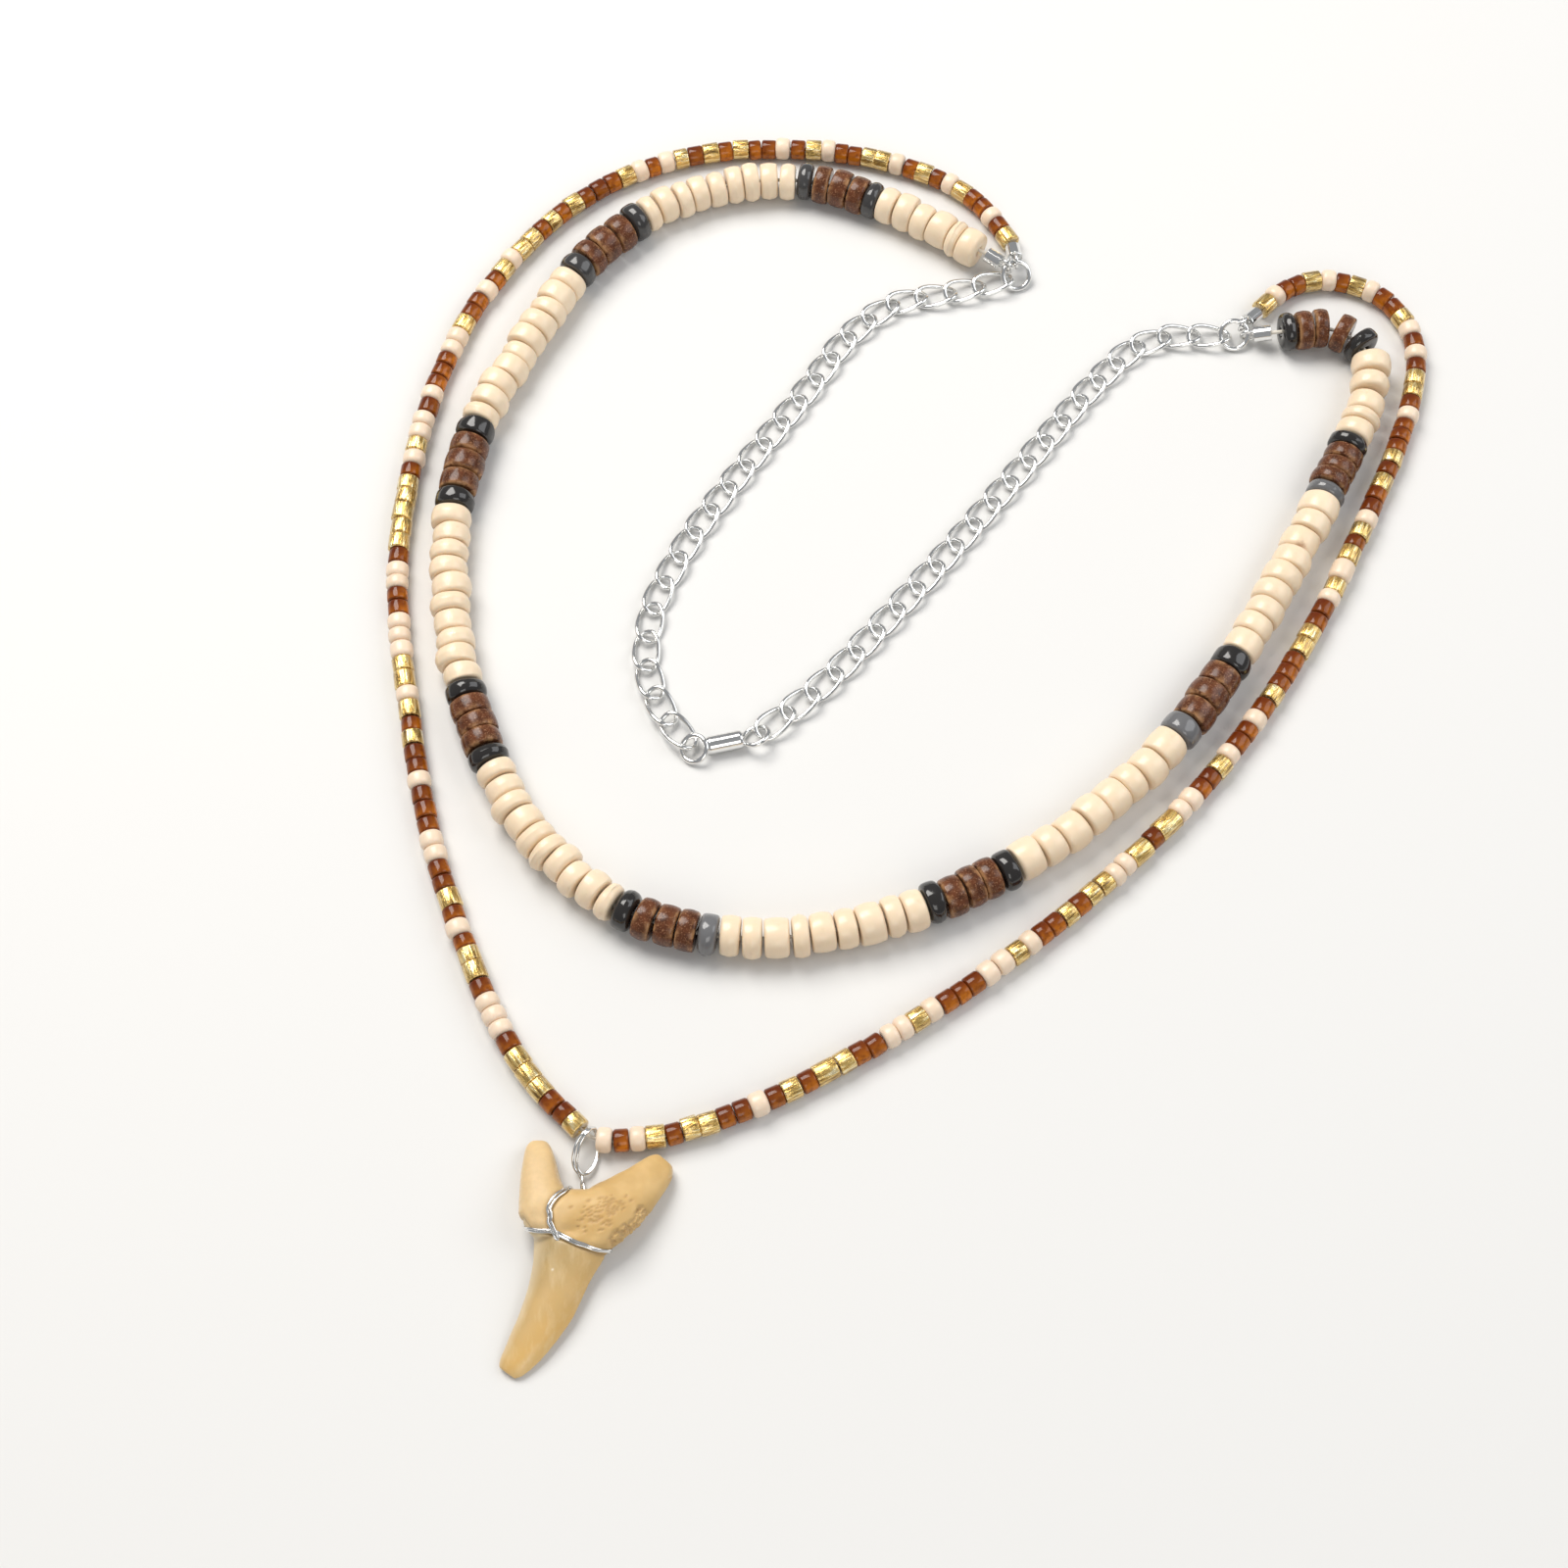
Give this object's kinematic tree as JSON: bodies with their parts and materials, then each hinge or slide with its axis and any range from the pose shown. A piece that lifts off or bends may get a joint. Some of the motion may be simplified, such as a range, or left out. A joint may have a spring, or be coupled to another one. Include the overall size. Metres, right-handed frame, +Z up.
{
  "type": "two-strand bead necklace with tooth pendant",
  "caption": "Two-strand necklace lying flat: thick disc beads, a fine glass bead strand, link chains with a barrel clasp, and a wire-wrapped shark tooth.",
  "frame": {"origin": "on the surface that the necklace lies on, in the neck space, ahead of the clasp", "axes": "+Y runs from the pendant towards the ends of the strands, +X to the right as seen from above, +Z up"},
  "size_m": [0.1408, 0.1778, 0.0058],
  "materials": {
    "shell": "satin cream shell with slightly uneven rims",
    "black_glass": "glossy black",
    "coconut": "polished brown coconut shell with tan flecks",
    "seed_glass": "small glass beads: cream, amber brown and gold foil",
    "silver": "bright silver-coloured metal",
    "thread": "fine pale thread",
    "tooth": "satin tan crown and matte beige root"
  },
  "bodies": {
    "root": {"inner_thread": "thread", "cream_beads": "shell", "black_beads": "black_glass", "coconut_beads": "coconut", "seed_strand_left": "seed_glass", "seed_strand_right": "seed_glass", "left_ring": "silver", "right_ring": "silver", "inner_left_tip": "silver", "inner_right_tip": "silver", "outer_left_tip": "silver", "outer_right_tip": "silver", "clasp": "silver", "chain_left": "silver", "chain_right": "silver", "tooth": "tooth", "tooth_wire": "silver"}
  },
  "joints": []
}
